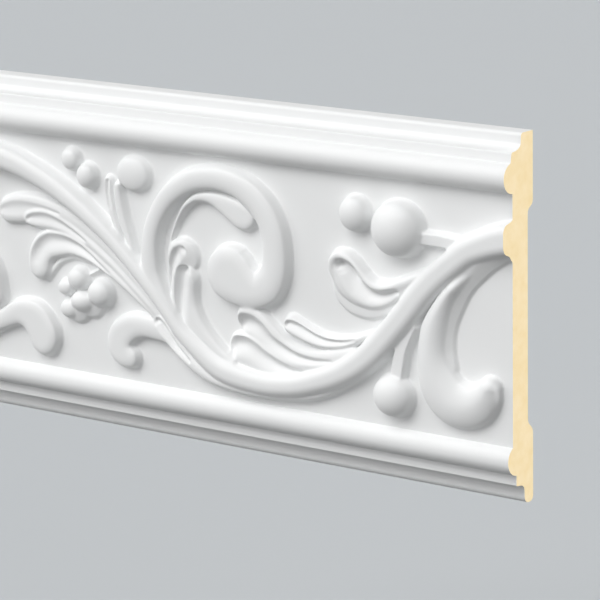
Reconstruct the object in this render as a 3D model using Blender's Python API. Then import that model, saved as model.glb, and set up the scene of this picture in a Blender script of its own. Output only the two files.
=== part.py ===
"""A straight length of a moulded frieze: a plain profiled section with a vine in relief.

The whole trim is one casting. Its long faces are the section swept along +X, and the sunk
panel between the two beads carries the ornament as a height over the panel.
All the drawing below is in millimetres: x along the trim from its left end, z up from its
lower edge, and depth forward from the wall. The mesh itself is made in metres.
"""
import math

import bpy
import numpy as np

MM = 0.001

# Driving dimensions
LENGTH = 400.0
HEIGHT = 200.0
PANEL_DEPTH = 18.8
PANEL_LOW = 32.78
PANEL_HIGH = 169.0
BEAD_RADIUS = 8.3
UPPER_BEAD = (18.5, 177.3)
LOWER_BEAD = (15.0, 25.4)
CHANNEL_DEPTH = 4.8
CHANNEL_LOW = (39.5, 43.7)
CHANNEL_HIGH = (158.6, 161.0)
CHANNEL_ROUND = 2.4
LIP_DEPTH = 8.0

# The origin is on the wall, halfway along, in the middle of the lower glue land
ORIGIN_X = LENGTH / 2
ORIGIN_Z = 20.0

# Mesh fineness before and after the surface is thinned out
CELL = 1.0
TRIANGLES = 9600
CREASE_ANGLE = math.radians(35)
END_TOLERANCE = 0.2

# Lowest height that counts as ornament, and the narrowest half width of a stroke
LEAST_HEIGHT = 0.05
LEAST_HALF_WIDTH = 0.15

# A stroke keeps its full height down to this half width, as a share of the height
SLENDER = 0.5


def clear_scene():
    """Start from an empty scene."""
    for item in list(bpy.data.objects):
        bpy.data.objects.remove(item, do_unlink=True)


def arc(centre, radii, start, end, steps):
    """Points (depth, z) of an ellipse's arc; angles in degrees from the depth axis."""
    angles = np.radians(np.linspace(start, end, steps + 1))
    return [(centre[0] + radii[0] * math.cos(a), centre[1] + radii[1] * math.sin(a))
            for a in angles]


def round_corners(points, radius, steps=2):
    """Replace each inner point by a small curve."""
    points = [np.array(point, float) for point in points]
    rounded = [points[0]]
    for before, corner, after in zip(points, points[1:], points[2:]):
        back_way, on_way = before - corner, after - corner
        cut = min(radius, 0.45 * np.linalg.norm(back_way), 0.45 * np.linalg.norm(on_way))
        start = corner + back_way / np.linalg.norm(back_way) * cut
        end = corner + on_way / np.linalg.norm(on_way) * cut
        for t in np.linspace(0, 1, steps + 1):
            rounded.append((1 - t) ** 2 * start + 2 * t * (1 - t) * corner + t ** 2 * end)
    rounded.append(points[-1])
    return [tuple(point) for point in rounded]


def lower_front():
    """The section from the foot of the lower back land round to the panel's lower edge."""
    heel_round, foot_round = 3.0, 3.8
    points = arc((heel_round, heel_round), (heel_round, heel_round), 180, 270, 3)
    points += arc((LIP_DEPTH - foot_round, foot_round), (foot_round, foot_round), -90, 0, 4)
    points += [(8.1, 7.6), (8.8, 9.5), (10.6, 10.6), (15.6, 11.2), (15.6, 17.1)]
    panel_angle = math.degrees(math.acos((PANEL_DEPTH - LOWER_BEAD[0]) / BEAD_RADIUS))
    points += arc(LOWER_BEAD, (BEAD_RADIUS, BEAD_RADIUS), -84, panel_angle, 14)
    return points


def upper_front():
    """The section from the panel's upper edge over the top to the top of the back."""
    fillet = [(20.4, 186.0), (19.6, 190.4), (18.8, 190.9)]
    cavetto_centre, cavetto_radii = (18.8, 194.7), (7.6, 3.8)
    nose_round, nose_depth = 2.2, 11.0
    points = arc(UPPER_BEAD, (BEAD_RADIUS, BEAD_RADIUS), -88, 76, 14)[1:]
    points += fillet
    points += arc(cavetto_centre, cavetto_radii, 262, 180, 6)
    nose = (nose_depth - nose_round, HEIGHT - nose_round)
    points += arc(nose, (nose_round, nose_round), 0, 90, 3)
    return points


def back():
    """The back from its top down to the lower land, with the channel between the lands."""
    foot_land = (0.0, 3.0)
    corners = [(0.0, HEIGHT), (0.0, CHANNEL_HIGH[1]), (CHANNEL_DEPTH, CHANNEL_HIGH[0]),
               (CHANNEL_DEPTH, CHANNEL_LOW[1]), (0.0, CHANNEL_LOW[0]), foot_land]
    return round_corners(corners, CHANNEL_ROUND)[:-1]


def smooth_curve(points, steps=7):
    """A smooth curve through (x, z, half width) points, or ones with a lean or fade too."""
    p = np.array([(*point, 0.0)[:4] for point in points], float)
    p = np.vstack([2 * p[0] - p[1], p, 2 * p[-1] - p[-2]])
    t = np.arange(steps)[:, None] / steps
    runs = []
    for a, b, c, d in zip(p, p[1:], p[2:], p[3:]):
        runs.append(0.5 * (2 * b + (c - a) * t + (2 * a - 5 * b + 4 * c - d) * t ** 2
                           + (3 * b - a - 3 * c + d) * t ** 3))
    runs.append(p[-2:-1])
    curve = np.vstack(runs)
    curve[:, 2] = np.maximum(curve[:, 2], LEAST_HALF_WIDTH)
    return curve


def ease(value):
    """A soft step from 0 to 1."""
    value = np.clip(value, 0.0, 1.0)
    return value * value * (3 - 2 * value)


class Relief:
    """Heights over the panel on a grid of x and z, built up stroke by stroke."""

    def __init__(self, xs, zs):
        self.xs, self.zs = xs, zs
        self.x, self.z = np.meshgrid(xs, zs)
        self.height = np.zeros_like(self.x)
        self.draft = 1.2 * (xs[1] - xs[0])

    def inside(self, curve):
        """How deep each grid point is inside a stroke, and where it lies across it.

        The arrays are the depth inside the edge, the half width, the place from -1 on the
        curve's right to 1 on its left, how far past an end, and the curve's fourth value.
        """
        edge, half = np.full(self.x.shape, -LENGTH), np.ones(self.x.shape)
        across, past, fourth = (np.zeros(self.x.shape) for _ in range(3))
        for (ax, az, ar, af), (bx, bz, br, bf) in zip(curve[:-1], curve[1:]):
            length, reach = math.hypot(bx - ax, bz - az), max(ar, br) + CELL
            if length == 0:
                continue
            i = np.searchsorted(self.xs, [min(ax, bx) - reach, max(ax, bx) + reach])
            j = np.searchsorted(self.zs, [min(az, bz) - reach, max(az, bz) + reach])
            near = (slice(*j), slice(*i))
            tx, tz = (bx - ax) / length, (bz - az) / length
            dx, dz = self.x[near] - ax, self.z[near] - az
            forward, sideways = dx * tx + dz * tz, dz * tx - dx * tz
            t = np.clip(forward / length, 0, 1)
            radius = ar + (br - ar) * t
            beyond = np.abs(forward - t * length)
            depth_in = radius - np.hypot(beyond, sideways)
            nearer = depth_in > edge[near]
            edge[near][nearer] = depth_in[nearer]
            half[near][nearer] = radius[nearer]
            across[near][nearer] = (sideways / radius)[nearer]
            past[near][nearer] = (beyond / radius)[nearer]
            fourth[near][nearer] = (af + (bf - af) * t)[nearer]
        return edge, half, across, past, fourth

    def join(self, height, blend):
        """Raise the surface to a new form, with a small fillet where the two meet."""
        old = self.height
        k = np.clip(0.5 + 0.5 * (height - old) / blend, 0, 1)
        fillet = blend * k * (1 - k) * ease(np.minimum(height, old) / blend)
        mixed = old * (1 - k) + height * k + fillet
        new = np.maximum(mixed, np.maximum(old, height))
        self.height = np.where(height > LEAST_HEIGHT, new, old)

    def stroke(self, points, height, wall=2.0, crown=99.0, blend=0.6, swell=2.2):
        """A rounded ridge along a curve: a steep wall, then a crown that is flat past `crown`.

        It is lower where it is thinner than half its height. A lean lowers the crown
        towards the curve's left, and a negative one towards its right.
        """
        edge, half, across, past, lean = self.inside(smooth_curve(points))
        wall = min(wall, 0.45 * height)
        rise = np.clip(edge / np.minimum(half, crown), 0, 1)
        bow = (1 - (1 - rise) ** swell) ** (1 / swell)
        form = wall * ease(edge / self.draft) + (height - wall) * bow * (1 - lean * across)
        form = form * np.minimum(1, half / (SLENDER * height))
        self.join(np.where(edge > 0, form, 0), blend)

    def bar(self, points, height):
        """A flat-topped bar with upright sides."""
        edge = self.inside(smooth_curve(points))[0]
        self.join(height * ease(edge / self.draft), 0.3)

    def berry(self, x, z, radius_x, radius_z, height, wall=2.0, blend=0.3):
        """A round fruit: half an ellipsoid on a low wall."""
        out = np.hypot((self.x - x) / radius_x, (self.z - z) / radius_z)
        edge = (1 - out) * min(radius_x, radius_z)
        ball = np.sqrt(np.clip(1 - out ** 2, 0, 1))
        form = wall * ease(edge / self.draft) + (height - wall) * ball
        self.join(np.where(edge > 0, form, 0), blend)

    def scoop(self, points, depth, steep=1, skew=1.7):
        """A hollow along a curve, steep on its left (1) or right (-1), gentle on the other.

        The fourth value of a point fades the hollow: 0 is the full depth and 1 is none.
        """
        edge, half, across, past, fade = self.inside(smooth_curve(points))
        to_steep = np.clip(steep * across + past * (1 - steep * across), -1, 1)
        cut = np.sin(math.pi * ((1 + to_steep) / 2) ** skew) * (1 - np.clip(fade, 0, 1))
        cut = cut * np.minimum(1, half / depth) * ease(edge / self.draft)
        self.height = np.maximum(self.height - np.where(edge > 0, depth * cut, 0), 0)


def left_end(relief):
    """The leaf that hangs at the left end, and the lower curl with its long arm."""
    relief.stroke([(2.4, 140, 5), (7.6, 124, 6), (13.8, 108, 8.5), (21, 95, 11.5),
                   (28.2, 83, 13.3), (30.8, 72, 13)], 7.2, crown=9)
    relief.stroke([(-12, 33, 5), (8, 40, 5.5), (24, 47.5, 5.8), (37, 54.5, 5.8), (52, 62, 7.6),
                   (60, 62.8, 9.2), (67, 60, 11), (72.5, 53, 11.7), (72.8, 50, 11)], 5.8,
                  wall=2.4, crown=7)


def leaf_fan(relief):
    """Three dished lobes that part from one bundle of strands on the vine's lower side."""
    relief.stroke([(48, 122.8, 8), (57, 124.7, 8.9), (72, 126.4, 7.6), (90, 124.6, 5.6),
                   (105, 119, 4.4), (120, 110.6, 3.4), (130, 103.4, 3), (145, 91.4, 2.8),
                   (156, 81.4, 2.6), (166, 71, 2)], 4.4, wall=1.6, crown=6)
    relief.scoop([(44, 122.6, 3), (52, 124, 4.8), (62, 125, 4.8), (76, 125.6, 3), (88, 125, 1)],
                 0.8, skew=1.4)
    relief.stroke([(65, 120, 5), (70, 120.6, 6.2), (77, 120.9, 6.6), (88, 119.4, 5.6),
                   (100, 115.6, 4.1), (112, 109.6, 3.2), (122, 103.4, 3), (130, 98.2, 2.8),
                   (145, 87, 2.6), (156, 78, 2.4), (165, 70, 2)], 5.2, wall=1.6)
    relief.scoop([(65.6, 119.8, 2.6), (70, 119.6, 4.4), (78, 119.8, 4.8), (88, 118.4, 3.6),
                  (98, 115.2, 2.4), (108, 111, 1.2)], 1.8, skew=1.6)
    relief.stroke([(78.5, 88, 4), (84.5, 94, 3.6), (91, 98.6, 3.2), (99, 100.4, 2.8),
                   (108, 99.4, 2.2), (118, 97, 1.6)], 1.8, wall=0.8)
    relief.stroke([(71, 92.6, 8.4), (72.2, 99.4, 9.2), (77.6, 105.2, 9.2), (86, 107.2, 8.4),
                   (94.4, 107.9, 7.1), (103, 106.2, 5.8), (112.6, 102.6, 4.6), (123, 97, 3.7),
                   (135, 89.8, 2.9), (148, 80.8, 2.5), (158, 73.4, 2.2), (164, 69, 2)], 5.6,
                  wall=1.8)
    relief.scoop([(72, 88, 5.6, 1), (72, 93, 6.6, 0.7), (73.4, 99.6, 7, 0.1), (79, 105.2, 7.2),
                  (87, 107, 6.4), (96, 107.2, 4.8), (106, 104.8, 3.2), (116, 100, 1.8),
                  (126, 94.6, 1)], 2.6, skew=1.7)


def berry_bunch(relief):
    """Seven berries under the leaf fan, and the stalk that carries them."""
    for fruit in [(110, 71, 7.6, 5.2, 2), (99.6, 66.4, 7, 5, 3.2), (92, 69.8, 7, 6, 6),
                  (89.2, 82.4, 5.6, 5.4, 5.6), (100, 87.6, 7.6, 7, 7.2),
                  (117.7, 82.2, 9.5, 8.4, 8.6), (102.6, 75.4, 7.4, 6, 8.2)]:
        relief.berry(*fruit)
    relief.stroke([(127, 99.4, 1.6), (119.6, 97.2, 2.2), (113, 94.4, 2.4), (108.4, 91.4, 2)], 3.6,
                  wall=1.2, blend=2)


def middle_curl(relief):
    """The comma-shaped curl below the vine, and the thin sheath beside it."""
    relief.stroke([(170, 63.5, 5.5), (158, 66, 6.6), (148, 66.6, 7.2), (139.5, 64.6, 8.2),
                   (132.3, 59, 9.4), (131, 52.5, 9.3), (134, 48.6, 8.2), (138.4, 46.9, 6.6)], 5.6,
                  wall=2.4, crown=7, blend=1.5)
    relief.stroke([(162.8, 70, 5.4), (168, 64.6, 5.4), (176, 57, 5), (186, 49.6, 4.6),
                   (198, 44, 4), (212, 41, 3.4), (230, 39.4, 3), (250, 39.8, 2.6),
                   (270, 42.8, 2.4), (288, 50, 2.2), (305, 61, 2.2), (318, 73, 2),
                   (328, 84, 1.6)], 6.2, blend=1.2)
    relief.scoop([(162, 70.2, 3.6), (166.4, 65.6, 3.6), (174, 58.4, 2.6), (184, 51.4, 1.4)], 3)


def upper_buds(relief):
    """The round bud on its two-bladed stem, and the pair of small balls."""
    relief.berry(143.6, 153.6, 12.4, 10.2, 5.8, wall=2.2)
    relief.stroke([(131.4, 151, 3.3), (132.6, 140, 3.5), (135.2, 128, 3.7), (138.6, 119, 3.5),
                   (144.6, 106, 3), (152, 95, 2.4)], 3.8, wall=1.2, blend=1.2, swell=1.8)
    relief.stroke([(124.8, 147.6, 3.4), (125.6, 139, 3.6), (128.2, 128.6, 3.4), (132, 119.4, 3),
                   (137.6, 108, 2.4)], 3.4, wall=1.2, blend=1.2, swell=1.8)
    relief.scoop([(125.4, 147.6, 1.8), (125.4, 141, 1.6), (127, 133, 1)], 1.6, steep=-1)
    relief.berry(97.2, 157.6, 7, 6.8, 6.2)
    relief.berry(109.2, 149.2, 7.4, 7.8, 7.2)


def inner_leaves(relief):
    """Two small hollow leaves and a long lobe, inside the scroll."""
    relief.stroke([(172.2, 78, 3), (171.2, 88, 3.6), (171.6, 96, 4.6), (174.4, 103.4, 7, -0.2),
                   (177.2, 109, 10, -0.5), (178.4, 110.4, 10.8, -0.6)], 5.2, wall=1.8, swell=1.8)
    relief.scoop([(170, 92, 1.2), (171.2, 99, 2.6), (173.6, 105.2, 5), (176.8, 109.8, 6.6),
                  (178, 110.8, 6)], 2.4)
    relief.stroke([(179.8, 97.4, 9.2), (179.4, 90, 9.2), (181.4, 82, 8.4), (186.8, 74, 7),
                   (194, 67, 5.6), (203, 60, 4.6), (214, 54, 3.4)], 5.6, wall=1.8, blend=0.8)
    relief.scoop([(179, 100.4, 5), (178.6, 95, 5.8), (178.6, 88, 5.6, 0.25), (179.4, 80, 5, 0.7),
                  (181, 73, 4, 1)], 4.0, skew=1)
    relief.stroke([(168, 110, 1.2), (170.4, 120, 1.8), (175.6, 131, 2.4), (182.6, 139.6, 3.4),
                   (191, 144, 4.6), (200, 144.6, 5.6), (209, 142.4, 7), (216.4, 140, 8),
                   (221.4, 138.6, 8.4), (223.8, 138, 8.2)], 4.6, wall=1.8, crown=5)


def scroll(relief):
    """The large volute: its ring swells into a disc."""
    relief.stroke([(166, 76, 8), (160, 87, 7.6), (156.6, 98, 7), (156.2, 111, 6.5),
                   (158, 122.5, 6.2), (162.4, 133, 6.3), (169.6, 143, 6.6), (179.4, 150.8, 6.9),
                   (190.6, 155.8, 7.1), (203, 157.7, 7.3), (215, 156.7, 7.5), (226.6, 152.6, 8),
                   (237, 144.6, 8.6), (244.4, 133.4, 9), (247, 120.6, 9.2), (245.6, 110, 9.8),
                   (240, 101.8, 10.6), (231.6, 97.6, 10.8), (222, 100.2, 13.6),
                   (213.8, 105, 16.6)], 7.4, wall=3.2, crown=10)


def lower_leaves(relief):
    """Three dished leaves along the upper side of the vine's low bend."""
    relief.stroke([(219.4, 63, 9.4), (228, 61.6, 9.6), (240, 58, 9), (254, 54, 8), (270, 52, 7)],
                  5.4, wall=1.8, blend=1)
    relief.stroke([(226.4, 80.2, 10), (233, 76.2, 9.8), (241, 70.4, 9.6), (250, 65.6, 8.4),
                   (262, 62.8, 7.4), (278, 63.4, 7), (298, 69, 6)], 5.6, wall=1.8, blend=1.5)
    relief.stroke([(257.2, 81.4, 6.2), (262, 80, 6), (270, 77.4, 5.6), (280, 75.4, 4.8),
                   (290, 75.8, 4), (300, 78.4, 3), (309, 83, 1.6)], 5.2, wall=1.8, blend=0.6)
    relief.scoop([(215.4, 66.8, 3.8), (219.6, 65.6, 6.4), (227, 62.4, 7.2), (236, 58.6, 6.4),
                  (248, 55.4, 4.8), (260, 54.2, 3.2), (272, 55.4, 1.6)], 3.2)
    relief.scoop([(221.6, 82.2, 3.8), (225.8, 79.8, 6.6), (233, 74.8, 7.2), (240, 69.8, 6.2),
                  (250, 65.4, 4.8), (260, 63, 3.6), (272, 62.8, 2.4), (284, 64.6, 1.2)], 3.2)
    relief.scoop([(255.6, 80.8, 2.6), (260, 79, 4), (266, 77, 3.8), (273, 75, 3.2),
                  (281, 74.2, 2.6), (291, 75.4, 1.8), (300, 78.2, 1)], 2.4)


def hooked_leaf(relief):
    """The S-shaped leaf on the rising vine: a dished blade under a rolled edge."""
    relief.stroke([(289, 111, 6), (292, 103.6, 7.6), (300, 99.2, 8), (312, 98.4, 7),
                   (325, 103, 5), (336, 109, 3)], 2.6, wall=1.2)
    relief.stroke([(291.4, 116, 8.8), (295, 110.2, 9.4), (303, 106, 8.6), (313, 104.4, 7.4),
                   (324, 107.4, 5.6), (338, 114, 4)], 5.6, wall=1.8, blend=0.3)
    relief.stroke([(350, 122, 3.2), (334, 114.6, 3.6), (322, 110, 3.6), (313.6, 109.6, 3.8),
                   (307.4, 112.6, 4), (302.8, 117, 4), (298.6, 121, 3.8), (294.2, 123.8, 3.5),
                   (289.4, 124.4, 3.3), (285.8, 122, 3.2), (284.6, 118.2, 3), (285.2, 114, 2.6),
                   (286.8, 109.4, 2)], 6.4, wall=1.8, blend=1.2)
    relief.scoop([(289.4, 118.2, 2.6), (292, 116, 4.2), (296, 112.4, 5.8), (301, 107.6, 6.4),
                  (309, 103.8, 5.6), (319, 104.6, 4), (330, 109, 2)], 3.2)


def right_balls(relief):
    """Two balls on a bar above the vine, and one on a short stem below it."""
    relief.berry(299.8, 148.2, 9.8, 10.2, 9.2, wall=2.4)
    relief.bar([(338, 139.8, 4.2), (356, 139.6, 4.2), (374, 138, 4.2)], 4.6)
    relief.berry(328.8, 143, 16.6, 15.7, 14.1, wall=2.8)
    relief.bar([(326.4, 57, 4.8), (328, 67, 4.8), (331, 79, 4.6), (337, 91, 4.4)], 4.8)
    relief.berry(324.6, 51.2, 12.8, 12, 11, wall=2.4)


def right_leaf(relief):
    """The large leaf that falls from the vine at the right and turns up at its tip."""
    relief.stroke([(404, 142, 6, 0.6), (391, 135, 6, 0.6), (380.4, 127.6, 6.6, 0.6),
                   (370, 117.4, 6.8, 0.5), (363, 105.6, 7, 0.5), (358.4, 93, 6.6, 0.5),
                   (357, 81, 7, 0.5), (358, 71, 7.6, 0.3)], 4, wall=2)
    relief.stroke([(378, 126, 1.6), (365.6, 115.4, 3.8), (357.8, 105, 5.8), (351.8, 92, 8.2),
                   (350, 80.6, 9), (351, 71, 10.6), (355, 61, 13.2), (362, 54, 13.8, -0.1),
                   (370.6, 52, 12.8, -0.3), (378.6, 53.6, 11.2, -0.6), (384.6, 58.6, 9, -0.7),
                   (387.2, 63.6, 6.6, -0.7)], 7.8, wall=2.2, blend=2, swell=1.8)


def vine(relief):
    """The main stem, one wave long, so that lengths of the trim meet end to end."""
    relief.stroke([(-20, 135, 8.6), (0, 145.5, 8.9), (14, 151.6, 8.6), (28, 154.6, 8.2),
                   (44, 153.8, 7.8), (60, 150.4, 7.2), (80, 143.2, 6.8), (100, 133.2, 6.3),
                   (120, 121, 5.7), (135, 109.6, 5.3), (149, 97.4, 5.6), (159.5, 86, 6.6),
                   (169, 74.2, 7.6), (179, 64, 7.9), (200, 51.6, 7.5), (215, 47.6, 7.2),
                   (235, 45.6, 6.9), (250, 46.4, 6.9), (265, 49.4, 7), (289, 58.4, 7.4),
                   (309, 71.6, 7.8), (328.5, 91.6, 7.9), (348.5, 114.6, 7.9), (369, 132.2, 8),
                   (380, 138.8, 8.2), (400, 145.5, 8.9), (420, 146, 8.8)], 8.7, wall=2.6,
                  crown=6.5, blend=2)


def soften(height):
    """Average each height with its neighbours, as a brushed coat rounds every edge."""
    for axis in (0, 1):
        padded = np.concatenate([height.take([0], axis), height, height.take([-1], axis)], axis)
        count = height.shape[axis]
        before, after = np.arange(count), np.arange(2, count + 2)
        height = 0.5 * height + 0.25 * (padded.take(before, axis) + padded.take(after, axis))
    return height


def ornament(xs, zs):
    """The whole relief, from what lies lowest to what lies on top."""
    relief = Relief(xs, zs)
    for grow in (left_end, leaf_fan, berry_bunch, middle_curl, upper_buds, inner_leaves,
                 scroll, lower_leaves, hooked_leaf, right_balls, right_leaf, vine):
        grow(relief)
    return soften(np.maximum(relief.height, 0))


def trim_mesh():
    """The section swept along the trim, with the relief on its panel and flat ends."""
    xs = np.linspace(0, LENGTH, round(LENGTH / CELL) + 1)
    rows = round((PANEL_HIGH - PANEL_LOW) / CELL)
    panel = np.linspace(PANEL_LOW, PANEL_HIGH, rows + 1)
    below, above = lower_front()[:-1], upper_front() + back()
    section = below + [(PANEL_DEPTH, z) for z in panel] + above
    depth = np.repeat(np.array([d for d, z in section])[:, None], len(xs), axis=1)
    heights = np.array([z for d, z in section])
    depth[len(below):len(below) + len(panel)] += ornament(xs, panel)

    vertices = np.empty((len(section), len(xs), 3))
    vertices[:, :, 0] = (xs - ORIGIN_X) * MM
    vertices[:, :, 1] = -depth * MM
    vertices[:, :, 2] = (heights[:, None] - ORIGIN_Z) * MM

    columns = len(xs)
    faces = []
    for row in range(len(section)):
        here, there = row * columns, (row + 1) % len(section) * columns
        for i in range(columns - 1):
            faces.append((here + i, here + i + 1, there + i + 1, there + i))
    faces.append([row * columns for row in range(len(section))])
    faces.append([row * columns + columns - 1 for row in reversed(range(len(section)))])

    mesh = bpy.data.meshes.new("wall_trim")
    mesh.from_pydata(vertices.reshape(-1, 3).tolist(), [], faces)
    mesh.validate()
    mesh.shade_smooth()
    mesh.set_sharp_from_angle(angle=CREASE_ANGLE)
    return mesh


def coat():
    """White primer over cast foam."""
    material = bpy.data.materials.new("white primer")
    material.use_nodes = True
    shader = material.node_tree.nodes["Principled BSDF"]
    shader.inputs["Base Color"].default_value = (0.83, 0.84, 0.85, 1.0)
    shader.inputs["Roughness"].default_value = 0.55
    shader.inputs["Metallic"].default_value = 0.0
    return material


def thin_out(trim):
    """Merge faces where the surface is nearly flat, then set both cut ends exactly flat."""
    fine = trim.data
    fine.calc_loop_triangles()
    merge = trim.modifiers.new("merge faces", "DECIMATE")
    merge.ratio = TRIANGLES / len(fine.loop_triangles)
    merge.use_collapse_triangulate = True
    depsgraph = bpy.context.evaluated_depsgraph_get()
    coarse = bpy.data.meshes.new_from_object(trim.evaluated_get(depsgraph))
    trim.modifiers.clear()
    trim.data = coarse
    coarse.name = "wall_trim"
    bpy.data.meshes.remove(fine)
    end = LENGTH / 2 * MM
    for vertex in coarse.vertices:
        if abs(vertex.co.x) > end - END_TOLERANCE * MM:
            vertex.co.x = math.copysign(end, vertex.co.x)


def build():
    """Make the trim as one object, with its mesh in place and its origin on the wall."""
    clear_scene()
    mesh = trim_mesh()
    mesh.materials.append(coat())
    trim = bpy.data.objects.new("wall_trim", mesh)
    bpy.context.scene.collection.objects.link(trim)
    thin_out(trim)


build()
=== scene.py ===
# %% [markdown]
# # A length of frieze moulding
# The real thing is one casting of rigid polyurethane foam: a plain profiled section with a
# vine in relief on its sunk panel, coated white at the factory and cut square at its ends.
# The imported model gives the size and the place. This script builds the fine surface that
# stands for it, finishes it in three materials, and lights it like a studio still.

# %% Load the frame
import math

import bpy
import numpy as np
from mathutils import Matrix, Vector


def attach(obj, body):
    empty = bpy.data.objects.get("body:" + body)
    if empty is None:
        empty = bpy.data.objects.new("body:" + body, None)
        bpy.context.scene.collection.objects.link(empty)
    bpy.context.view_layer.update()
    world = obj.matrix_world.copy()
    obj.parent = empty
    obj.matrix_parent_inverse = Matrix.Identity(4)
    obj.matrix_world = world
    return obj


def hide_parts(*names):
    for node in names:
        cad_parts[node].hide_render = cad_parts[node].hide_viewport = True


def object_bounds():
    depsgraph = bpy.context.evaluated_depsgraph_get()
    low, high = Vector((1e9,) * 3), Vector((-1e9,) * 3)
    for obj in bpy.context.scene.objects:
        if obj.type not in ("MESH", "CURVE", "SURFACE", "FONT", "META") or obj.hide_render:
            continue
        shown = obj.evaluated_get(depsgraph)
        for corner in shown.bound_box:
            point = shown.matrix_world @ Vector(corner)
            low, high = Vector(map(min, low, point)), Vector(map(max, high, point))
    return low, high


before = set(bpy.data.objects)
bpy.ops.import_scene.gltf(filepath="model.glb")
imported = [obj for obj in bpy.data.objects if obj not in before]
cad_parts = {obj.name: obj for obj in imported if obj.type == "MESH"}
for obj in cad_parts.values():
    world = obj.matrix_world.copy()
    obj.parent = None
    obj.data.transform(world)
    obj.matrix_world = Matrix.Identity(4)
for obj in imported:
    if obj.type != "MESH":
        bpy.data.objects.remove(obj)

cad_low, cad_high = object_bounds()

# %% [markdown]
# ## Units and the shared frame
# A moulding is drawn in millimetres: x from its left end, z from its lower edge, and depth
# forward from the wall. The frame is in metres, so one small function turns a drawn point
# into a frame point. It reads the left end and the lower edge from the CAD box, and
# nothing has to be fitted by hand.

# %% From the drawing to the frame
MM = 0.001
LENGTH = (cad_high.x - cad_low.x) / MM
HEIGHT = (cad_high.z - cad_low.z) / MM


def to_frame(x, depth, z):
    """A drawn point, or arrays of them, as x, y and z in metres."""
    return cad_low.x + x * MM, -depth * MM, cad_low.z + z * MM


print(f"drawing sheet: {LENGTH:.0f} x {HEIGHT:.0f} mm")

# %% [markdown]
# ## The section
# Such a trim is known by its section, the shape its cut end shows. From the bottom it has a
# thin lip, a fillet, a bead, the sunk panel, a second bead, a fillet, a hollow moulding
# called a cavetto, and a rounded nose. At the back two glue lands touch the wall, with a
# shallow channel between them. It could be a bevelled curve; here it is a list of points
# made of arcs, because the panel's rows then take the relief without a Boolean.

# %% Arcs and rounded corners
CORNER_SHARE = 0.45


def arc(centre, radii, start, end, steps):
    """Points (depth, z) of an ellipse's arc; angles in degrees from the depth axis."""
    angles = np.radians(np.linspace(start, end, steps + 1))
    return [(centre[0] + radii[0] * math.cos(a), centre[1] + radii[1] * math.sin(a))
            for a in angles]


def round_corners(points, radius, steps=3):
    """Replace each inner point by a small curve, because a mould has no knife edges."""
    points = [np.array(p, float) for p in points]
    rounded = [points[0]]
    for before, corner, after in zip(points, points[1:], points[2:]):
        back, on = before - corner, after - corner
        cut = min(radius, CORNER_SHARE * min(np.linalg.norm(back), np.linalg.norm(on)))
        start = corner + back / np.linalg.norm(back) * cut
        end = corner + on / np.linalg.norm(on) * cut
        for t in np.linspace(0, 1, steps + 1):
            rounded.append((1 - t) ** 2 * start + 2 * t * (1 - t) * corner + t ** 2 * end)
    rounded.append(points[-1])
    return [tuple(p) for p in rounded]


# %% Draw the section
PANEL_DEPTH = 18.8
PANEL_LOW, PANEL_HIGH = 32.78, 169.0
BEAD_RADIUS = 8.3
UPPER_BEAD, LOWER_BEAD = (18.5, 177.3), (15.0, 25.4)
EDGE_ROUND = 0.6
HEEL_ROUND, FOOT_ROUND, LIP_DEPTH = 3.0, 3.8, 8.0
NOSE_ROUND, NOSE_DEPTH = 2.2, 11.0
CHANNEL_ROUND = 2.4

panel_angle = math.degrees(math.acos((PANEL_DEPTH - LOWER_BEAD[0]) / BEAD_RADIUS))
foot = arc((HEEL_ROUND, HEEL_ROUND), (HEEL_ROUND, HEEL_ROUND), 180, 270, 8)
foot += arc((LIP_DEPTH - FOOT_ROUND, FOOT_ROUND), (FOOT_ROUND, FOOT_ROUND), -90, 0, 10)
steps_below = [(LIP_DEPTH, 5.4), (8.1, 7.6), (8.8, 9.5), (10.6, 10.6), (15.6, 11.2), (15.6, 17.1)]
lower_bead = arc(LOWER_BEAD, (BEAD_RADIUS, BEAD_RADIUS), -84, panel_angle, 36)
upper_bead = arc(UPPER_BEAD, (BEAD_RADIUS, BEAD_RADIUS), -88, 76, 40)
fillet = [(20.4, 186.0), (19.6, 190.4), (18.8, 190.9)]
cavetto = arc((18.8, 194.7), (7.6, 3.8), 262, 180, 16)
nose_centre = (NOSE_DEPTH - NOSE_ROUND, HEIGHT - NOSE_ROUND)
nose = arc(nose_centre, (NOSE_ROUND, NOSE_ROUND), 0, 90, 8)
channel = [(0.0, HEIGHT), (0.0, 161.0), (4.8, 158.6), (4.8, 43.7), (0.0, 39.5), foot[0]]
back = round_corners(channel, CHANNEL_ROUND)[:-1]

below = foot + round_corners(steps_below, EDGE_ROUND)[1:] + lower_bead[:-1]
above = upper_bead[1:] + round_corners(fillet, EDGE_ROUND)[1:] + cavetto + nose + back
print("section:", len(below), "points below the panel and", len(above), "above and behind")

# %% [markdown]
# ## The relief as a height over the panel
# The ornament has no undercuts, since the casting must leave its mould. So every leaf can be
# a height over the flat panel, on a fine grid. Sculpting would give the same, but strokes
# along curves are easier to place and to change: each stroke is a smooth line with a half
# width, a steep wall at its edge and a rounded crown.

# %% The grid and smooth lines
CELL = 0.5
COLUMNS = round(LENGTH / CELL) + 1
ROWS = round((PANEL_HIGH - PANEL_LOW) / CELL) + 1
LEAST_HALF_WIDTH = 0.15

grid_x = np.linspace(0, LENGTH, COLUMNS)
grid_z = np.linspace(PANEL_LOW, PANEL_HIGH, ROWS)
over_x, over_z = np.meshgrid(grid_x, grid_z)
relief = np.zeros_like(over_x)


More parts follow.
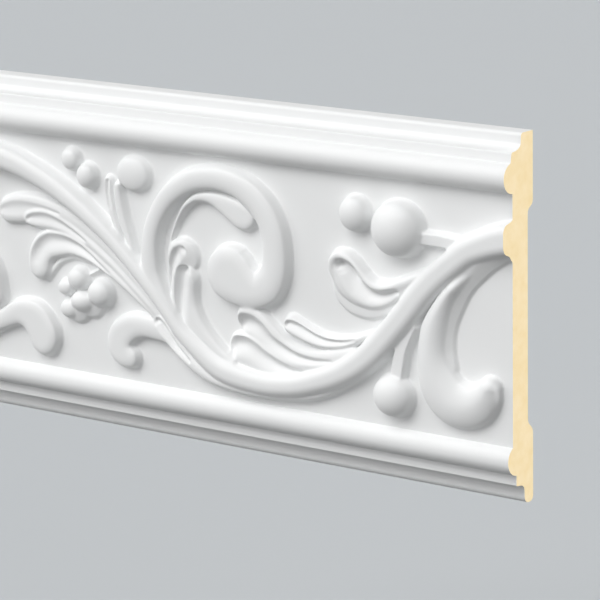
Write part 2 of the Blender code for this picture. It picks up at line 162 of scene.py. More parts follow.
def smooth_line(points, steps=9):
    """A smooth curve through (x, z, half width) points, which may have a fourth value."""
    p = np.array([(*point, 0.0)[:4] for point in points], float)
    p = np.vstack([2 * p[0] - p[1], p, 2 * p[-1] - p[-2]])
    t = np.arange(steps)[:, None] / steps
    runs = []
    for a, b, c, d in zip(p, p[1:], p[2:], p[3:]):
        runs.append(0.5 * (2 * b + (c - a) * t + (2 * a - 5 * b + 4 * c - d) * t ** 2
                           + (3 * b - a - 3 * c + d) * t ** 3))
    runs.append(p[-2:-1])
    line = np.vstack(runs)
    line[:, 2] = np.maximum(line[:, 2], LEAST_HALF_WIDTH)
    return line


print("grid:", COLUMNS, "x", ROWS, "heights,", CELL, "mm apart")

# %% Where a grid point lies in a stroke
def inside(line):
    """How deep each grid point is inside the stroke, and where it lies across the stroke.

    The five arrays are the depth inside the edge, the half width, the place from -1 on the
    right of the line to 1 on its left, how far past the line's end in half widths, and the
    line's fourth value there.
    """
    edge, half = np.full(relief.shape, -LENGTH), np.ones(relief.shape)
    across, past, lean = (np.zeros(relief.shape) for _ in range(3))
    for (ax, az, ar, al), (bx, bz, br, bl) in zip(line[:-1], line[1:]):
        length, reach = math.hypot(bx - ax, bz - az), max(ar, br) + CELL
        if length == 0:
            continue
        i0, i1 = np.searchsorted(grid_x, [min(ax, bx) - reach, max(ax, bx) + reach])
        j0, j1 = np.searchsorted(grid_z, [min(az, bz) - reach, max(az, bz) + reach])
        near = (slice(j0, j1), slice(i0, i1))
        tx, tz = (bx - ax) / length, (bz - az) / length
        dx, dz = over_x[near] - ax, over_z[near] - az
        forward, sideways = dx * tx + dz * tz, dz * tx - dx * tz
        t = np.clip(forward / length, 0, 1)
        radius = ar + (br - ar) * t
        beyond = np.abs(forward - t * length)
        depth_in = radius - np.hypot(beyond, sideways)
        nearer = depth_in > edge[near]
        edge[near][nearer] = depth_in[nearer]
        half[near][nearer] = radius[nearer]
        across[near][nearer] = (sideways / radius)[nearer]
        past[near][nearer] = (beyond / radius)[nearer]
        lean[near][nearer] = (al + (bl - al) * t)[nearer]
    return edge, half, across, past, lean


# %% Strokes, berries and scoops
DRAFT = 0.8
LEAST_HEIGHT = 0.05
SLENDER = 0.5
MOST_WALL = 0.45


def ease(value):
    """A soft step from 0 to 1."""
    value = np.clip(value, 0.0, 1.0)
    return value * value * (3 - 2 * value)


def join(height, blend):
    """Raise the relief to a new form, with a fillet of that size where the two meet."""
    k = np.clip(0.5 + 0.5 * (height - relief) / blend, 0, 1)
    fillet = blend * k * (1 - k) * ease(np.minimum(height, relief) / blend)
    mixed = relief * (1 - k) + height * k + fillet
    new = np.maximum(mixed, np.maximum(relief, height))
    relief[:] = np.where(height > LEAST_HEIGHT, new, relief)


def stroke(points, height, wall=2.0, crown=99.0, blend=0.6, swell=2.2):
    """A rounded ridge: a steep wall, then a crown that is flat further in than `crown`.

    Where the line is thinner than half its height, it is lower too. A lean lowers the crown
    towards the left of the line, and a negative one towards its right.
    """
    edge, half, across, past, lean = inside(smooth_line(points))
    wall = min(wall, MOST_WALL * height)
    rise = np.clip(edge / np.minimum(half, crown), 0, 1)
    bow = (1 - (1 - rise) ** swell) ** (1 / swell)
    form = wall * ease(edge / DRAFT) + (height - wall) * bow * (1 - lean * across)
    form = form * np.minimum(1, half / (SLENDER * height))
    join(np.where(edge > 0, form, 0), blend)


def bar(points, height, blend=0.3):
    """A flat-topped bar with upright sides."""
    edge = inside(smooth_line(points))[0]
    join(height * ease(edge / DRAFT), blend)


def berry(x, z, radius_x, radius_z, height, wall=2.0, blend=0.3):
    """A round fruit: half an ellipsoid on a low wall."""
    out = np.hypot((over_x - x) / radius_x, (over_z - z) / radius_z)
    edge = (1 - out) * min(radius_x, radius_z)
    ball = np.sqrt(np.clip(1 - out ** 2, 0, 1))
    form = wall * ease(edge / DRAFT) + (height - wall) * ball
    join(np.where(edge > 0, form, 0), blend)


def scoop(points, depth, steep=1, skew=1.7):
    """A hollow along a line, steep on its left (1) or right (-1) and gentle on the other.

    A fourth value fades it along the line, from 0 for the full depth to 1 for none.
    """
    edge, half, across, past, fade = inside(smooth_line(points))
    side = np.clip(steep * across, -1, 1)
    to_steep = np.clip(side + past * (1 - side ** 2) / 2, -1, 1)
    cut = np.sin(math.pi * ((1 + to_steep) / 2) ** skew) * (1 - np.clip(fade, 0, 1))
    cut = cut * np.minimum(1, half / depth) * ease(edge / DRAFT)
    relief[:] = np.maximum(relief - np.where(edge > 0, depth * cut, 0), 0)


def grown(name):
    """Say how much of the panel is covered so far, and how high the relief is."""
    share = 100 * np.mean(relief > LEAST_HEIGHT)
    print(f"{name}: {share:.0f}% of the panel covered, highest {relief.max():.1f} mm")


# %% [markdown]
# ## The left end
# The casting is cut here through a hanging leaf and the long arm of a curl. What shows of
# them is broad and smooth, so each is one fat stroke with a wide, nearly flat crown.

# %% Hanging leaf and lower curl
stroke([(2.4, 140, 5), (7.6, 124, 6), (13.8, 108, 8.5), (21, 95, 11.5), (28.2, 83, 13.3),
        (30.8, 72, 13)], 7.2, crown=9)
stroke([(-12, 33, 5), (8, 40, 5.5), (24, 47.5, 5.8), (37, 54.5, 5.8), (52, 62, 7.6),
        (60, 62.8, 9.2), (67, 60, 11), (72.5, 53, 11.7), (72.8, 50, 11)],
       5.8, wall=2.4, crown=7)
grown("left end")

# %% [markdown]
# ## The fan of three lobes
# Thin strands run down the lower side of the vine and open into three leaf lobes. Each lobe
# is dished: its upper edge stands up as a rim, and below the rim the blade is hollowed with a
# gouge. So each is one stroke for the body and one scoop, which is steep on the rim's side.
# The lowest lobe also has a thin ledge under it.

# %% Leaf fan
stroke([(48, 122.8, 8), (57, 124.7, 8.9), (72, 126.4, 7.6), (90, 124.6, 5.6), (105, 119, 4.4),
        (120, 110.6, 3.4), (130, 103.4, 3), (145, 91.4, 2.8), (156, 81.4, 2.6), (166, 71, 2)],
       4.4, wall=1.6, crown=6)
scoop([(44, 122.6, 3), (52, 124, 4.8), (62, 125, 4.8), (76, 125.6, 3), (88, 125, 1)],
      0.8, skew=1.4)
stroke([(65, 120, 5), (70, 120.6, 6.2), (77, 120.9, 6.6), (88, 119.4, 5.6), (100, 115.6, 4.1),
        (112, 109.6, 3.2), (122, 103.4, 3), (130, 98.2, 2.8), (145, 87, 2.6), (156, 78, 2.4),
        (165, 70, 2)], 5.2, wall=1.6)
scoop([(65.6, 119.8, 2.6), (70, 119.6, 4.4), (78, 119.8, 4.8), (88, 118.4, 3.6),
       (98, 115.2, 2.4), (108, 111, 1.2)], 1.8, skew=1.6)
stroke([(75.6, 85.6, 2), (79, 89.4, 2), (84.2, 95, 2), (91, 98.8, 2), (100, 100.2, 1.8),
        (112, 98.6, 1.4)], 2, wall=0.8)
stroke([(71, 92.6, 8.4), (72.2, 99.4, 9.2), (77.6, 105.2, 9.2), (86, 107.2, 8.4),
        (94.4, 107.9, 7.1), (103, 106.2, 5.8), (112.6, 102.6, 4.6), (123, 97, 3.7),
        (135, 89.8, 2.9), (148, 80.8, 2.5), (158, 73.4, 2.2), (164, 69, 2)], 5.6, wall=1.8)
scoop([(72, 88, 5.6, 1), (72, 93, 6.6, 0.7), (73.4, 99.6, 7, 0.1), (79, 105.2, 7.2),
       (87, 107, 6.4), (96, 107.2, 4.8), (106, 104.8, 3.2), (116, 100, 1.8),
       (126, 94.6, 1)], 2.6)
grown("leaf fan")

# %% [markdown]
# ## Berries
# Seven berries hang in a bunch under the fan. Half an ellipsoid on a low wall reads as a
# ball that is sunk a little into the panel. The two lowest are short strokes that lean down
# and away from the others, so they stay in the shade of the bunch.

# %% Berry bunch and its stalk
stroke([(95.4, 68.4, 5.6, -0.7), (98.6, 67.8, 6.2, -0.7), (101.6, 68.4, 5.8, -0.7)],
       4.2, wall=1.6)
stroke([(107.6, 71.2, 5.4, -0.7), (110.6, 72, 6, -0.7), (113, 74, 5.8, -0.7)], 4, wall=1.6)
for fruit in [(93.2, 69.8, 7, 6, 6.4), (90.2, 81.8, 5.8, 5, 5.6), (100.8, 88.2, 7.8, 7, 7.6),
              (117.4, 81.8, 9.2, 8.2, 8.6), (103.8, 75.6, 8.6, 6.4, 8.4)]:
    berry(*fruit)
stroke([(130, 100, 1.2), (122, 97.8, 1.4), (115, 94.6, 1.4), (109, 91.6, 1.2)],
       3.4, wall=1.2, blend=1.5)
grown("berries")

# %% [markdown]
# ## The middle curl and the sheath
# A comma-shaped curl grows from the vine's foot. Its stroke widens as it turns, and a large
# blend closes its eye to a notch. A sheath with a small hooked top follows the vine's lower
# side, and thins out to a line.

# %% Middle curl and sheath
stroke([(170, 63.5, 5.5), (158, 66, 6.6), (148, 66.6, 7.2), (139.5, 64.6, 8.2),
        (132.3, 59, 9.4), (131, 52.5, 9.3), (134, 48.6, 8.2), (138.4, 46.9, 6.6)],
       5.6, wall=2.4, crown=7, blend=1.5)
stroke([(162.8, 70, 5.4), (168, 64.6, 5.4), (176, 57, 5), (186, 49.6, 4.6), (198, 44, 4),
        (212, 41, 3.4), (230, 39.4, 3), (250, 39.8, 2.6), (270, 42.8, 2.4), (288, 50, 2.2),
        (305, 61, 2.2), (318, 73, 2), (328, 84, 1.6)], 6.2, blend=1.2)
scoop([(162, 70.2, 3.6), (166.4, 65.6, 3.6), (174, 58.4, 2.6), (184, 51.4, 1.4)], 3)
grown("middle curl")

# %% [markdown]
# ## Buds above the vine
# A round bud stands on a stem of two blades, and two small balls lie beside it.

# %% Upper buds
berry(143.6, 153.6, 12.4, 10.2, 5.8, wall=2.2)
stroke([(132.2, 145.6, 3.1), (132.6, 140, 3.5), (135.2, 128, 3.6), (138.6, 119, 3.2),
        (144.6, 106, 1.8)], 4.6, wall=2, blend=0.6)
stroke([(124.8, 147.6, 3.4), (125.6, 139, 3.6), (128.2, 128.6, 3.2), (132, 119.4, 2.4),
        (137.6, 108, 1.4)], 4, wall=1.6, blend=0.6)
scoop([(125.4, 147.6, 1.8), (125.4, 141, 1.6), (127, 133, 1)], 1.6, steep=-1)
berry(97.2, 157.6, 7, 6.8, 6.2)
berry(109.2, 149.2, 7.4, 7.8, 7.2)
grown("upper buds")

# %% [markdown]
# ## The scroll
# The volute is the heart of the pattern: a ring leaves the vine, swells as it turns, and
# ends in a disc. One stroke does it all, since the half width grows along the line and the
# last turn meets the ring. Inside it lie a long lobe and two small hollow leaves.

# %% Leaves inside the scroll
stroke([(175, 79, 3), (173.2, 88, 3.6), (172.6, 96, 4.8), (174.8, 103.4, 7, -0.2),
        (177.4, 109, 10, -0.6), (178.6, 110.4, 10.8, -0.8)], 5, wall=1.8, swell=1.8)
scoop([(171.6, 90, 1.6), (171.8, 99, 2.8), (173.4, 106, 3.8), (176.4, 111.4, 4.4),
       (178.2, 113.2, 4.2, 0.4)], 2.6)
stroke([(179.8, 97.4, 9.2), (179.4, 90, 9.2), (181.4, 82, 8.4), (186.8, 74, 7), (194, 67, 5.6),
        (203, 60, 4.6), (214, 54, 3.4)], 5.6, wall=1.8, blend=0.8)
scoop([(180, 100.4, 5.2), (179.6, 95, 5.6), (179.2, 88, 5.4, 0.1), (179.8, 80, 4.8, 0.5),
       (181, 73, 4, 1)], 4.4, steep=-1)
stroke([(168, 110, 1.2), (170.6, 120, 1.5), (175.8, 131.4, 1.8), (182.4, 140.2, 2.3),
        (190.4, 145.2, 2.9), (200, 146, 4), (209, 143.6, 6), (216.4, 140.6, 7.6),
        (221.4, 138.6, 8.4), (223.8, 138, 8.2)], 4.6, wall=1.8, crown=5)
grown("inner leaves")

# %% Ring and disc
stroke([(173, 75, 4.6), (163.6, 87, 6), (157.2, 98, 6.8), (156.2, 111, 6.5),
        (158, 122.5, 6.2), (162.4, 133, 6.3), (169.6, 143, 6.6), (179.4, 150.8, 6.9),
        (190.6, 155.8, 7.1), (203, 157.7, 7.3), (215, 156.7, 7.5), (226.6, 152.6, 8),
        (237, 144.6, 8.4), (243.8, 133.4, 8.6), (246, 120.6, 8.8), (245, 110, 9.4),
        (240, 101.8, 10.6), (231.6, 97.6, 10.8), (222, 100.2, 13.6), (213.8, 105, 16.6)],
       7.4, wall=3.2, crown=10)
grown("scroll")

# %% [markdown]
# ## Leaves in the low bend
# Three dished leaves lie one over another along the upper side of the vine. All the bodies
# come first and the scoops after them, because the next leaf's body would fill a hollow.

# %% Lower leaves
stroke([(219.4, 63, 9.4, -0.4), (228, 61.6, 9.6, -0.2), (240, 58, 9), (254, 54, 8),
        (270, 52, 7)], 5.4, wall=1.8, blend=1)
stroke([(226.4, 80.2, 10, -0.6), (233, 76.2, 9.8, -0.4), (241, 70.4, 9.6, -0.2),
        (250, 65.6, 8.4), (262, 62.8, 7.4), (278, 63.4, 7), (298, 69, 6)],
       5.6, wall=1.8, blend=1.5)
stroke([(255.6, 81, 6), (260, 79.4, 5.7), (268, 76.7, 5.3), (278, 74.9, 4.6), (289, 75.5, 3.8),
        (300, 78.4, 2.8), (309, 83, 1.6)], 5.2, wall=1.8, blend=0.6)
scoop([(217.4, 63.6, 7.2), (221.4, 64, 7.2), (227.4, 62.2, 7.2, 0.2), (236, 58.6, 6.4, 0.25),
       (248, 55.4, 4.8, 0.25), (260, 54.2, 3.2, 0.25), (272, 55.4, 1.6, 0.25)], 4.2)
scoop([(224.4, 77.6, 6.8), (228.2, 77.2, 7), (233.6, 74, 7, 0.2), (240, 69.4, 6, 0.25),
       (250, 65.4, 4.8, 0.25), (260, 63, 3.6, 0.25), (272, 62.8, 2.4, 0.25),
       (284, 64.6, 1.2, 0.25)], 4.2)
scoop([(254.6, 81.4, 2.8), (259, 80, 3.8), (266, 77.6, 3.6), (273, 75.6, 3), (281, 74.8, 2.4),
       (291, 75.8, 1.7), (300, 78.4, 1)], 2.8)
grown("lower leaves")

# %% [markdown]
# ## The hooked leaf
# On the rising vine sits an S-shaped leaf. Its upper edge rolls over into a hook, its blade
# is dished under the hook, and a thin ledge shows below it.

# %% Hooked leaf
stroke([(289, 111, 6), (292, 103.6, 7.6), (300, 99.2, 8), (312, 98.4, 7), (325, 103, 5),
        (336, 109, 3)], 2.6, wall=1.2)
stroke([(291.4, 116, 8.8), (295, 110.2, 9.4), (303, 106, 8.6), (313, 104.4, 7.4),
        (324, 107.4, 5.6), (338, 114, 4)], 5.6, wall=1.8, blend=0.3)
stroke([(350, 122, 3.2), (334, 114.6, 3.6), (322, 110, 3.6), (313.6, 109.6, 3.8),
        (307.4, 112.6, 4), (302.8, 117, 4), (298.6, 121, 3.8), (294.2, 123.8, 3.5),
        (289.4, 124.4, 3.3), (285.8, 122, 3.2), (284.6, 118.2, 3), (285.2, 114, 2.6),
        (286.8, 109.4, 2)], 6.4, wall=1.8, blend=1.2)
scoop([(293.2, 118, 5.2), (295.6, 116, 6.4), (298.2, 112.6, 7), (301.8, 108.4, 7, 0.15),
       (309, 104.4, 6, 0.15), (317.6, 104, 4.8, 0.15), (328, 108.4, 2.4, 0.15)], 3.8)
grown("hooked leaf")

# %% [markdown]
# ## Balls and the large leaf
# Two balls sit on a bar above the vine, a third hangs on a short stem below it, and a large
# crescent leaf falls to the panel's lower edge and turns up at its tip. The leaf has a low
# ledge along its inner edge.

# %% Balls at the right
berry(299.8, 148.2, 9.8, 10.2, 9.2, wall=2.4)
bar([(338, 139.8, 4.2), (356, 139.6, 4.2), (374, 138, 4.2)], 4.6)
berry(328.8, 143, 16.6, 15.7, 14, wall=2.8)
bar([(326.4, 57, 4.8), (328, 67, 4.8), (331, 79, 4.6), (337, 91, 4.4)], 4.8)
berry(324.6, 51.2, 12.8, 12, 11, wall=2.4)
grown("balls")

# %% Large leaf
stroke([(404, 142, 6, 0.9), (391, 135, 6, 0.9), (380.4, 127.6, 6.6, 0.9),
        (370, 117.4, 6.8, 0.9), (363, 105.6, 7, 0.9), (358.4, 93, 6.6, 0.9),
        (357, 81, 7, 0.9), (358, 71, 7.6, 0.7)], 4.6, wall=1)
stroke([(378, 126, 1.6), (365.6, 115.4, 3.8), (357.8, 105, 5.8), (351.8, 92, 8.2),
        (350, 80.6, 9), (351, 71, 10.6), (355, 61, 13.2), (362, 54, 13.8),
        (370.6, 52, 12.8), (378.6, 53.6, 11.2, -0.1), (384.6, 58.6, 9, -0.1),
        (387.2, 63.6, 6.6)], 7.8, wall=2.2, blend=2, swell=1.8)
grown("large leaf")

# %% [markdown]
# ## The vine
# The main stem is one wave long. It leaves the right end at the height where it enters at
# the left, so that lengths of the trim can be butted. It comes last, because it lies on top
# of every leaf that grows from it.

# %% Vine
stroke([(-20, 135, 8.6), (0, 145.5, 8.9), (14, 151.6, 8.6), (28, 154.6, 8.2),
        (44, 153.8, 7.8), (60, 150.4, 7.2), (80, 143.2, 6.8), (100, 133.2, 6.3),
        (120, 121, 5.7), (135, 109.6, 5.3), (149, 97.6, 5.3), (160.4, 87, 5.4),
        (171, 76, 5.4), (181, 65.8, 5.8), (200.4, 52.4, 6.8), (215, 47.6, 7.2),
        (235, 45.6, 6.9), (250, 46.4, 6.9), (265, 49.4, 7), (289, 58.4, 7.4),
        (309, 71.6, 7.8), (328.5, 91.6, 7.9), (348.5, 114.6, 7.9), (369, 132.2, 8),
        (380, 138.8, 8.2), (400, 145.5, 8.9), (420, 146, 8.8)],
       8.7, wall=2.6, crown=6.5, blend=1.2)
grown("vine")

# %% [markdown]
# ## The coat rounds every edge
# Primer is sprayed on in two passes, and it fills the sharp bottoms of the grooves. Taking
# each height with its neighbours does the same to the surface, and also removes the small
# steps that a grid leaves on a slanting wall.

# %% Soften the relief
def soften(height):
    """Average each height with its neighbours on both sides."""
    for axis in (0, 1):
        count = height.shape[axis]
        padded = np.concatenate([height.take([0], axis), height, height.take([-1], axis)], axis)
        before = padded.take(np.arange(count), axis)
        after = padded.take(np.arange(2, count + 2), axis)
        height = 0.5 * height + 0.25 * (before + after)
    return height


COAT_PASSES = 2
coated = np.maximum(relief, 0)
for _ in range(COAT_PASSES):
    coated = soften(coated)
print(f"coat: highest point now {coated.max():.2f} mm over the panel")

# %% [markdown]
# ## One mesh for the casting
# The section is swept along the trim as rows of points, with the relief added to the panel's
# rows, and each end is closed by one flat face. A Decimate modifier then merges faces where
# the surface is nearly flat, so that the triangles go where the carving is. Where small
# triangles meet large flat ones, plain smooth shading would leave faint streaks, so a
# Weighted Normal modifier gives the large faces more say.

# %% Sweep the section
def casting_mesh(name):
    """The closed surface of the trim."""
    section = below + [(PANEL_DEPTH, z) for z in grid_z] + above
    depth = np.repeat(np.array([d for d, z in section])[:, None], COLUMNS, axis=1)
    depth[len(below):len(below) + ROWS] += coated
    z = np.repeat(np.array([z for d, z in section])[:, None], COLUMNS, axis=1)
    x = np.repeat(grid_x[None, :], len(section), axis=0)
    points = np.stack(to_frame(x, depth, z), axis=-1).reshape(-1, 3)

    rows = np.arange(len(section))
    first = (rows * COLUMNS)[:, None] + np.arange(COLUMNS - 1)
    above_first = (np.roll(rows, -1) * COLUMNS)[:, None] + np.arange(COLUMNS - 1)
    quads = np.stack([first, first + 1, above_first + 1, above_first], axis=-1).reshape(-1, 4)
    left_end = (rows * COLUMNS).tolist()
    right_end = (rows[::-1] * COLUMNS + COLUMNS - 1).tolist()

    mesh = bpy.data.meshes.new(name)
    mesh.from_pydata(points.tolist(), [], quads.tolist() + [left_end, right_end])
    mesh.validate()
    return mesh


casting = bpy.data.objects.new("cast_trim", casting_mesh("cast_trim"))
bpy.context.scene.collection.objects.link(casting)
print("casting:", len(casting.data.polygons), "faces before thinning")

# %% Merge faces where it is flat
MOST_TRIANGLES = 190000
CREASE_ANGLE = math.radians(38)
END_TOLERANCE_MM = 0.2


def thin_out(thing, triangles):
    """Apply a Decimate modifier that leaves about that many triangles."""
    fine = thing.data
    fine.calc_loop_triangles()
    merge = thing.modifiers.new("merge flat faces", "DECIMATE")
    merge.ratio = min(1.0, triangles / len(fine.loop_triangles))
    depsgraph = bpy.context.evaluated_depsgraph_get()
    thing.data = bpy.data.meshes.new_from_object(thing.evaluated_get(depsgraph))
    thing.modifiers.clear()
    bpy.data.meshes.remove(fine)


def flatten_ends(mesh):
    """Put the points that thinning moved off the two cut ends back on them."""
    for vertex in mesh.vertices:
        for end in (cad_low.x, cad_high.x):
            if abs(vertex.co.x - end) < END_TOLERANCE_MM * MM:
                vertex.co.x = end


thin_out(casting, MOST_TRIANGLES)
flatten_ends(casting.data)
casting.data.name = "cast_trim"
casting.data.shade_smooth()
casting.data.set_sharp_from_angle(angle=CREASE_ANGLE)
even_shading = casting.modifiers.new("even shading", "WEIGHTED_NORMAL")
even_shading.keep_sharp = True
print("casting:", len(casting.data.polygons), "faces after thinning")

# %% [markdown]
# ## Colours and nodes
# Colours are noted the way a paint card gives them, as sRGB hex. Blender's shaders work in
# linear light, so one function converts them. Another adds a node, sets its values and
# makes its links, which keeps each material short enough to read.

# %% Helpers for materials
def linear(code):
    """An sRGB hex colour as linear red, green, blue and alpha."""
    channels = [int(code[i:i + 2], 16) / 255 for i in (1, 3, 5)]
    values = [c / 12.92 if c <= 0.04045 else ((c + 0.055) / 1.055) ** 2.4 for c in channels]
    return (*values, 1.0)


def add(material, kind, links=(), **settings):
    """A node with its settings; links are (input, source node, source output)."""
    node = material.node_tree.nodes.new(kind)
    for name, value in settings.items():
        if hasattr(node, name):
            setattr(node, name, value)
        else:
            node.inputs[name.replace("_", " ")].default_value = value
    for socket, source, output in links:
        material.node_tree.links.new(source.outputs[output], node.inputs[socket])
    return node


def new_material(name):
    """An empty material and its Principled shader."""
    material = bpy.data.materials.new(name)
    material.use_nodes = True
    return material, material.node_tree.nodes["Principled BSDF"]


print("white of the coat in linear light:", [round(c, 3) for c in linear("#F3F4F4")[:3]])

# %% [markdown]
# ## White acrylic primer
# The face is sprayed with a water-based acrylic primer. It dries matt to satin, so lights
# show as broad soft sheens, and the spray leaves a very fine orange peel. The peel's bumps
# are about 0.6 mm wide and only about a hundredth of a millimetre high.

# %% Primer material
PEEL_MM = 0.6
PEEL_HEIGHT_MM = 0.012
SHEEN_DRIFT_MM = 25.0
LEAST_ROUGH, MOST_ROUGH = 0.42, 0.5

primer, shader = new_material("sprayed_acrylic_primer")
shader.inputs["Base Color"].default_value = linear("#F3F4F4")
shader.inputs["IOR"].default_value = 1.49
place = add(primer, "ShaderNodeTexCoord")
peel = add(primer, "ShaderNodeTexNoise", [("Vector", place, "Object")],
           Scale=1 / (PEEL_MM * MM), Detail=2.0, Roughness=0.5)
drift = add(primer, "ShaderNodeTexNoise", [("Vector", place, "Object")],
            Scale=1 / (SHEEN_DRIFT_MM * MM), Detail=2.0, Roughness=0.5)
sheen_range = add(primer, "ShaderNodeMapRange", [("Value", drift, "Fac")],
                  From_Min=0.3, From_Max=0.7, To_Min=LEAST_ROUGH, To_Max=MOST_ROUGH)
bump = add(primer, "ShaderNodeBump", [("Height", peel, "Fac")],
           Strength=1.0, Distance=PEEL_HEIGHT_MM * MM)
primer.node_tree.links.new(sheen_range.outputs["Result"], shader.inputs["Roughness"])
primer.node_tree.links.new(bump.outputs["Normal"], shader.inputs["Normal"])
print("primer: roughness", LEAST_ROUGH, "to", MOST_ROUGH, "and peel", PEEL_MM, "mm wide")

# %% [markdown]
# ## Sawn polyurethane foam
# The ends are cut with a fine saw, which opens the foam's closed cells. The bare foam is a
# warm cream, quite rough, and shows its cells as pits about a third of a millimetre wide.

# %% Sawn foam material
CELL_MM = 0.35
CELL_DEPTH_MM = 0.05
MOTTLE_MM = 6.0

sawn, shader = new_material("sawn_polyurethane_foam")
shader.inputs["Roughness"].default_value = 0.85
shader.inputs["IOR"].default_value = 1.45
place = add(sawn, "ShaderNodeTexCoord")
cells = add(sawn, "ShaderNodeTexVoronoi", [("Vector", place, "Object")],
            Scale=1 / (CELL_MM * MM))
mottle = add(sawn, "ShaderNodeTexNoise", [("Vector", place, "Object")],
             Scale=1 / (MOTTLE_MM * MM), Detail=3.0)
tint = add(sawn, "ShaderNodeValToRGB", [("Fac", mottle, "Fac")])
tint.color_ramp.elements[0].position, tint.color_ramp.elements[1].position = 0.3, 0.7
tint.color_ramp.elements[0].color = linear("#F4DDAC")
tint.color_ramp.elements[1].color = linear("#F9E5BC")
bump = add(sawn, "ShaderNodeBump", [("Height", cells, "Distance")],
           Strength=1.0, Distance=CELL_DEPTH_MM * MM)
sawn.node_tree.links.new(tint.outputs["Color"], shader.inputs["Base Color"])
sawn.node_tree.links.new(bump.outputs["Normal"], shader.inputs["Normal"])
print("sawn foam: cells", CELL_MM, "mm wide")

# %% [markdown]
# ## Foam skin
# The back isn't coated. It keeps the smooth skin that foam forms against the mould, a
# little paler and less rough than the cut, with wide shallow flow marks. Some primer mist
# reaches round the edges, so the first few millimetres fade from white.

# %% Skin material
FLOW_MM = 18.0
FLOW_HEIGHT_MM = 0.15
MIST_MM = 7.0

skin, shader = new_material("moulded_foam_skin")
shader.inputs["Roughness"].default_value = 0.6
shader.inputs["IOR"].default_value = 1.45
place = add(skin, "ShaderNodeTexCoord")
split = add(skin, "ShaderNodeSeparateXYZ", [("Vector", place, "Object")])
flow = add(skin, "ShaderNodeTexNoise", [("Vector", place, "Object")],
           Scale=1 / (FLOW_MM * MM), Detail=4.0, Distortion=0.6)
tint = add(skin, "ShaderNodeValToRGB", [("Fac", flow, "Fac")])
tint.color_ramp.elements[0].position, tint.color_ramp.elements[1].position = 0.35, 0.65
tint.color_ramp.elements[0].color = linear("#EFDDB8")
tint.color_ramp.elements[1].color = linear("#F6E8C9")
middle_z = (cad_low.z + cad_high.z) / 2
from_middle = add(skin, "ShaderNodeMath", [(0, split, "Z")], operation="SUBTRACT")
from_middle.inputs[1].default_value = middle_z
away = add(skin, "ShaderNodeMath", [(0, from_middle, "Value")], operation="ABSOLUTE")
mist = add(skin, "ShaderNodeMapRange", [("Value", away, "Value")],
           From_Min=(HEIGHT / 2 - MIST_MM) * MM, From_Max=HEIGHT / 2 * MM)
coat_mix = add(skin, "ShaderNodeMix", [("Factor", mist, "Result")], data_type="RGBA")
skin.node_tree.links.new(tint.outputs["Color"], coat_mix.inputs["A"])
coat_mix.inputs["B"].default_value = linear("#F3F4F4")
bump = add(skin, "ShaderNodeBump", [("Height", flow, "Fac")],
           Strength=1.0, Distance=FLOW_HEIGHT_MM * MM)
skin.node_tree.links.new(coat_mix.outputs["Result"], shader.inputs["Base Color"])
skin.node_tree.links.new(bump.outputs["Normal"], shader.inputs["Normal"])
print("skin: primer mist fades over", MIST_MM, "mm from each edge")

# %% [markdown]
# ## Which face gets which finish
# The materials are told apart by where a face looks: along the trim for the sawn ends,
# into the wall for the bare back, and everything else is coated.

# %% Assign the finishes
END_FACING, BACK_FACING = 0.99, 0.2
END_ZONE_MM = 0.5

for finish in (primer, sawn, skin):
    casting.data.materials.append(finish)
normals = np.empty(len(casting.data.polygons) * 3, np.float32)
casting.data.polygons.foreach_get("normal", normals)
normals = normals.reshape(-1, 3)
centres = np.empty(len(casting.data.polygons) * 3, np.float32)
casting.data.polygons.foreach_get("center", centres)
centres = centres.reshape(-1, 3)
end_from = (LENGTH / 2 - END_ZONE_MM) * MM
at_end = (np.abs(normals[:, 0]) > END_FACING) & (np.abs(centres[:, 0]) > end_from)
at_back = normals[:, 1] > BACK_FACING
finish_index = np.where(at_end, 1, np.where(at_back, 2, 0)).astype(np.int32)
casting.data.polygons.foreach_set("material_index", finish_index)
print("faces coated, sawn and bare:", np.bincount(finish_index).tolist())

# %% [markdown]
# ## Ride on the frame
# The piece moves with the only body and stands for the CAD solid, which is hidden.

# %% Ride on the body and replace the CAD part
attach(casting, "root")
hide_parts("wall_trim")

# %% [markdown]
# ## Studio
# White on white needs soft light with a clear direction. The photograph was lit from high in
# front and a little from the left, and the key light does that. A low light in front and two
# from the left open the shadows under the leaves, and a weak one from the right rounds the
# balls. The sixth stands behind the right end: it reaches the sawn end, and the trim itself
# keeps it off the carving. Area lamps would do, but they fade along the floor. A sun lamp
# with a wide angle is like a softbox that is huge and far away, so its light is just as soft
# and the same everywhere. The floor throws no light back, as a far one would throw little.

# %% Floor
FLOOR_DROP = 0.25
FLOOR_SIZE = 60.0
bpy.ops.mesh.primitive_plane_add(size=FLOOR_SIZE, location=(0, 0, cad_low.z - FLOOR_DROP))
floor = bpy.context.object
floor.name = "floor"
floor_paint, shader = new_material("pale_floor_paint")
shader.inputs["Base Color"].default_value = linear("#C0C4C7")
shader.inputs["Roughness"].default_value = 0.9
floor.data.materials.append(floor_paint)
floor.visible_diffuse = False
print("floor", FLOOR_DROP, "m below the trim")

# %% Soft lights
SOFTNESS = math.radians(35)
ROOM_LIGHT = 0.12


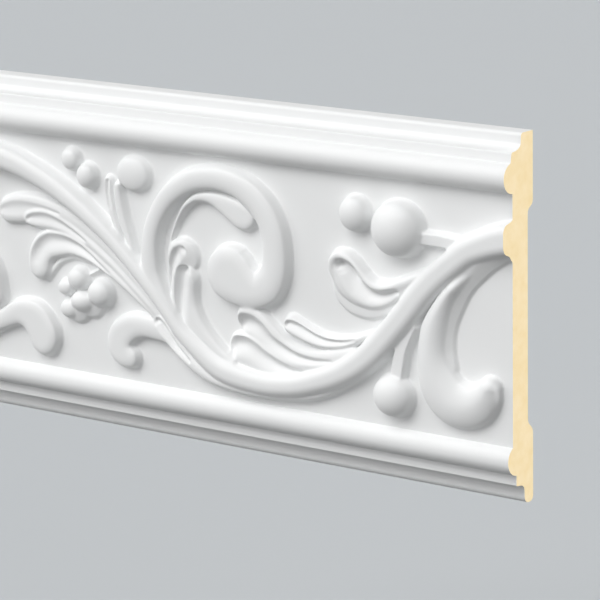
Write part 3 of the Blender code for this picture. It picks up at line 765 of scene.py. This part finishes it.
def soft_light(name, azimuth, elevation, watts_per_m2):
    """A soft light from that direction, in degrees, with its strength at the trim."""
    a, e = math.radians(azimuth), math.radians(elevation)
    towards = Vector((math.sin(a) * math.cos(e), -math.cos(a) * math.cos(e), math.sin(e)))
    lamp = bpy.data.lights.new(name, "SUN")
    lamp.energy, lamp.angle = watts_per_m2, SOFTNESS
    holder = bpy.data.objects.new(name, lamp)
    holder.rotation_mode = "QUATERNION"
    holder.rotation_quaternion = towards.to_track_quat("Z", "Y")
    bpy.context.scene.collection.objects.link(holder)
    print(f"{name}: {watts_per_m2} W per m2")


soft_light("key_light", -10, 50, 1.56)
soft_light("low_front_light", -10, -5, 1.11)
soft_light("left_light", -45, 25, 0.8)
soft_light("far_left_light", -80, 35, 0.62)
soft_light("right_light", 60, 25, 0.25)
soft_light("end_light", 125, 12, 3.45)
world = bpy.data.worlds.new("studio_grey")
bpy.context.scene.world = world
world.use_nodes = True
room = world.node_tree.nodes["Background"]
room.inputs["Color"].default_value = (1.0, 1.0, 1.0, 1.0)
room.inputs["Strength"].default_value = ROOM_LIGHT
bpy.context.scene.view_settings.view_transform = "Standard"

# %% [markdown]
# ## Camera
# The photograph looks at the face from the right and a little from above, through a long
# lens, so the two long edges converge only a little. The camera rolls by less than a degree.

# %% Camera
AZIMUTH, ELEVATION, ROLL = 38.0, 12.675, -0.912
LENS_MM, SENSOR_MM = 209.8, 36.0
NEAREST, FARTHEST = 0.05, 100.0
DISTANCE = 1.9358
target = Vector((0.04462, 0.0, 0.069745))

azimuth, elevation = math.radians(AZIMUTH), math.radians(ELEVATION)
backward = Vector((math.sin(azimuth) * math.cos(elevation),
                   -math.cos(azimuth) * math.cos(elevation), math.sin(elevation)))
rightward = Vector((math.cos(azimuth), math.sin(azimuth), 0.0))
upward = backward.cross(rightward)
roll = math.radians(ROLL)
right_axis = math.cos(roll) * rightward + math.sin(roll) * upward
up_axis = -math.sin(roll) * rightward + math.cos(roll) * upward
lens = bpy.data.cameras.new("photo_camera")
lens.lens, lens.sensor_width = LENS_MM, SENSOR_MM
lens.clip_start, lens.clip_end = NEAREST, FARTHEST
camera = bpy.data.objects.new("photo_camera", lens)
turn = Matrix((right_axis, up_axis, backward)).transposed().to_4x4()
camera.matrix_world = Matrix.Translation(target + backward * DISTANCE) @ turn
bpy.context.scene.collection.objects.link(camera)
bpy.context.scene.camera = camera
print("camera at", [round(v, 3) for v in camera.matrix_world.translation])
